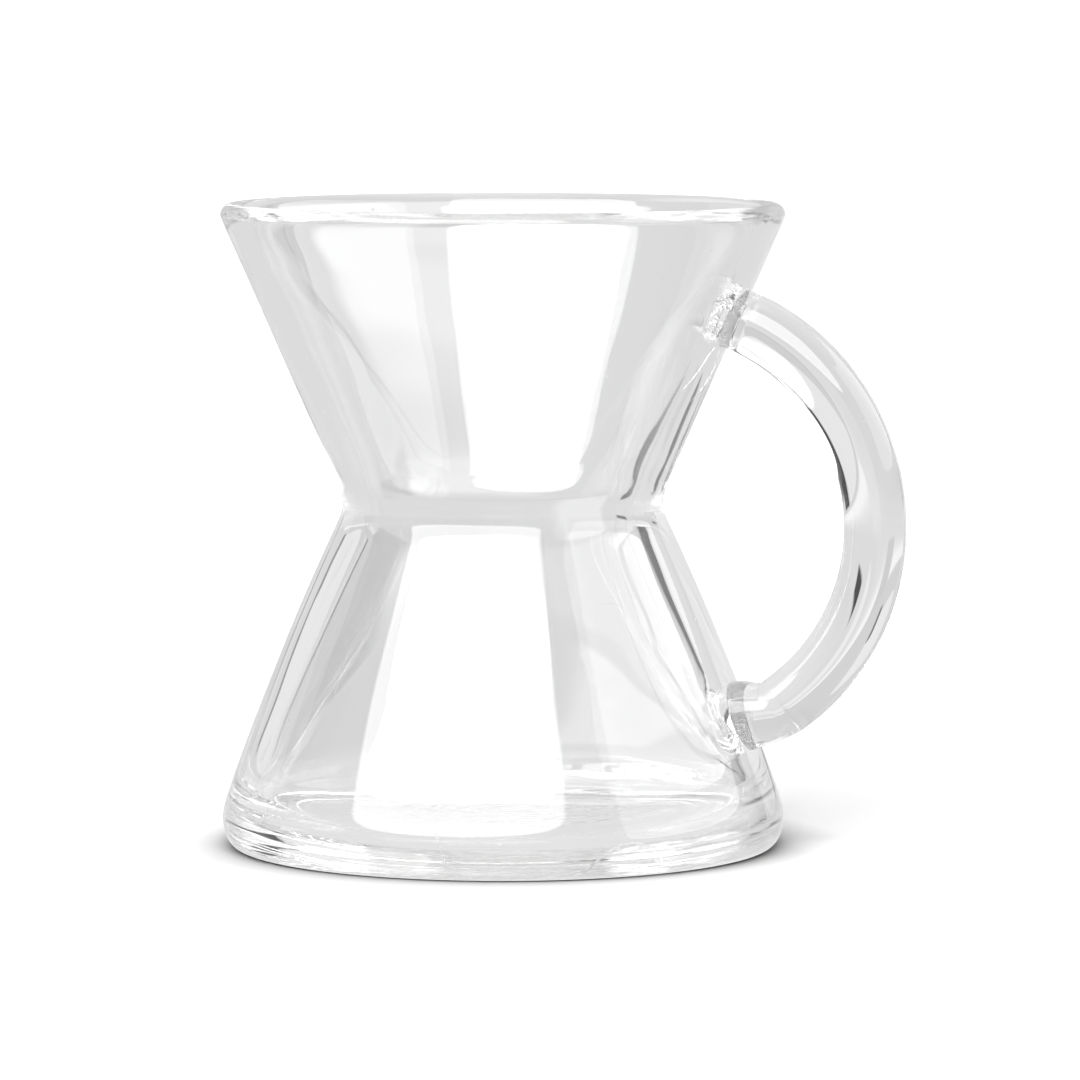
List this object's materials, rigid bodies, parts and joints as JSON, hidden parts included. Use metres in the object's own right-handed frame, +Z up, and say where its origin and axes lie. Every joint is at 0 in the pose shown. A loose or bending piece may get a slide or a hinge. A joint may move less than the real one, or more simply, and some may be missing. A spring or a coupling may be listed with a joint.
{
  "type": "pour over dripper",
  "caption": "Clear glass hourglass pour over dripper: a round funnel runs through an open waist into a thick-bottomed flask, with a bent solid glass rod fused on as a side handle.",
  "frame": {"origin": "centre of the flat foot, on the vessel's axis", "axes": "+Z up along the vessel's axis, towards the rim; +X towards the handle, which lies in the XZ plane"},
  "size_m": [0.1093, 0.0888, 0.1016],
  "materials": {
    "clear_glass": "clear, smooth and fire polished"
  },
  "bodies": {
    "root": {"vessel": "clear_glass", "handle_rod": "clear_glass", "upper_weld": "clear_glass", "lower_weld": "clear_glass"}
  },
  "joints": []
}
